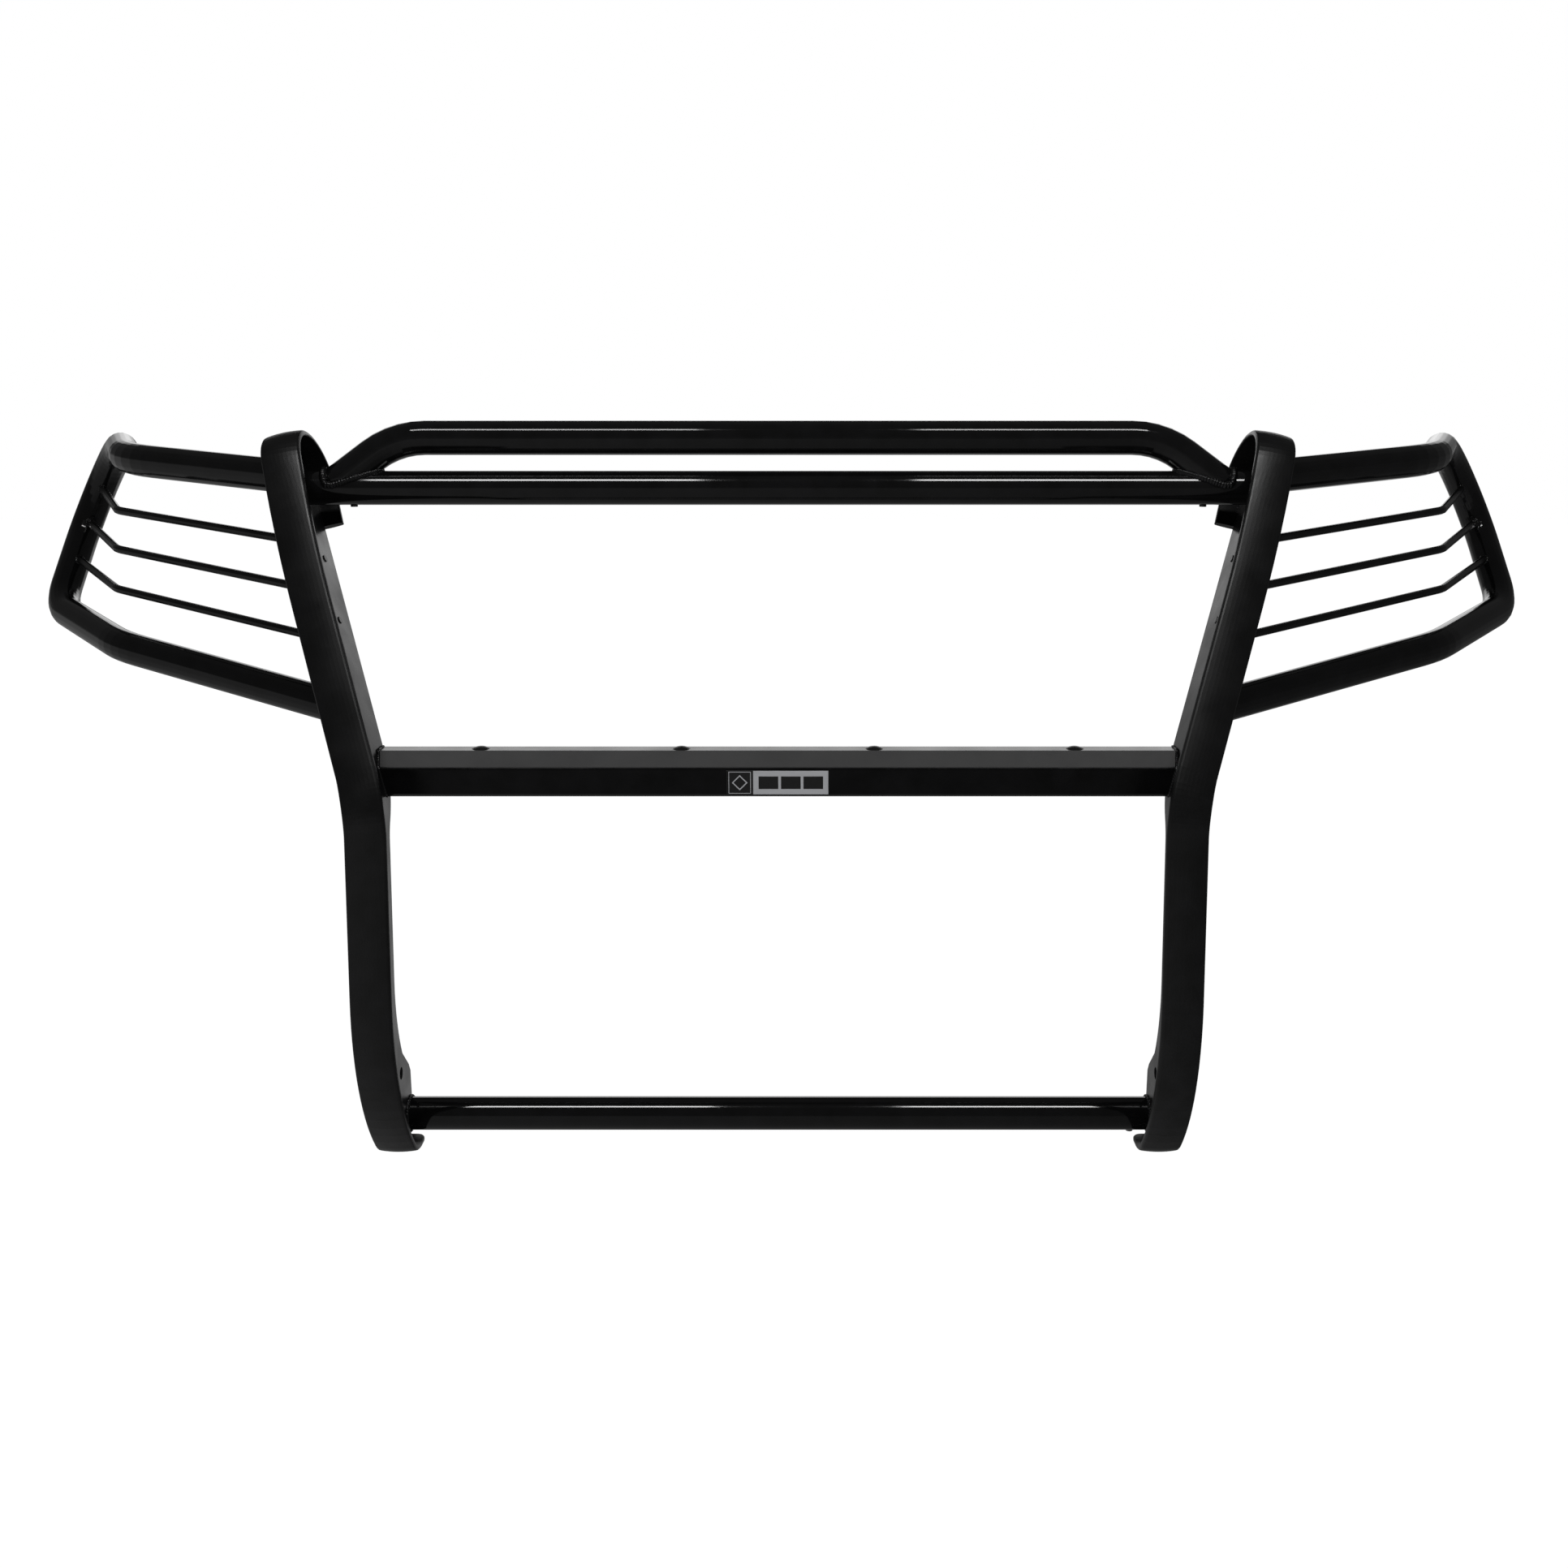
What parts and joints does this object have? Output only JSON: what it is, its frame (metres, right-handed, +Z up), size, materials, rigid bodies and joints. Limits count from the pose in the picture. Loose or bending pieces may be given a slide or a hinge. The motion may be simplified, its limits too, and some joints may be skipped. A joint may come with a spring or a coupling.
{
  "type": "front grille guard",
  "caption": "Welded steel front grille guard with T-section uprights, round cross tubes, a folded middle crossbar and wraparound headlight wings.",
  "frame": {"origin": "middle of the line through the two bracket bolt holes, on the mid plane of the guard", "axes": "+X to the driver's left which is the right-hand side as seen from in front of the truck, +Y from the guard towards the truck, +Z up"},
  "size_m": [1.8908, 0.6057, 0.8079],
  "materials": {
    "black_steel": "gloss black powder coat over mild steel",
    "plastic_plug": "semi-gloss black",
    "badge": "satin plate with a dark field"
  },
  "bodies": {
    "root": {"upright_face_left": "black_steel", "upright_face_right": "black_steel", "upright_web_left": "black_steel", "upright_web_right": "black_steel", "top_bow_tube": "black_steel", "top_cross_tube": "black_steel", "middle_crossbar": "black_steel", "bottom_cross_tube": "black_steel", "wing_tube_left": "black_steel", "wing_tube_right": "black_steel", "wing_bar_left_top": "black_steel", "wing_bar_left_middle": "black_steel", "wing_bar_left_bottom": "black_steel", "wing_bar_right_top": "black_steel", "wing_bar_right_middle": "black_steel", "wing_bar_right_bottom": "black_steel", "crossbar_plugs": "plastic_plug", "badge_plate": "badge", "tube_drain_plugs": "plastic_plug", "web_hole_plugs": "plastic_plug"}
  },
  "joints": []
}
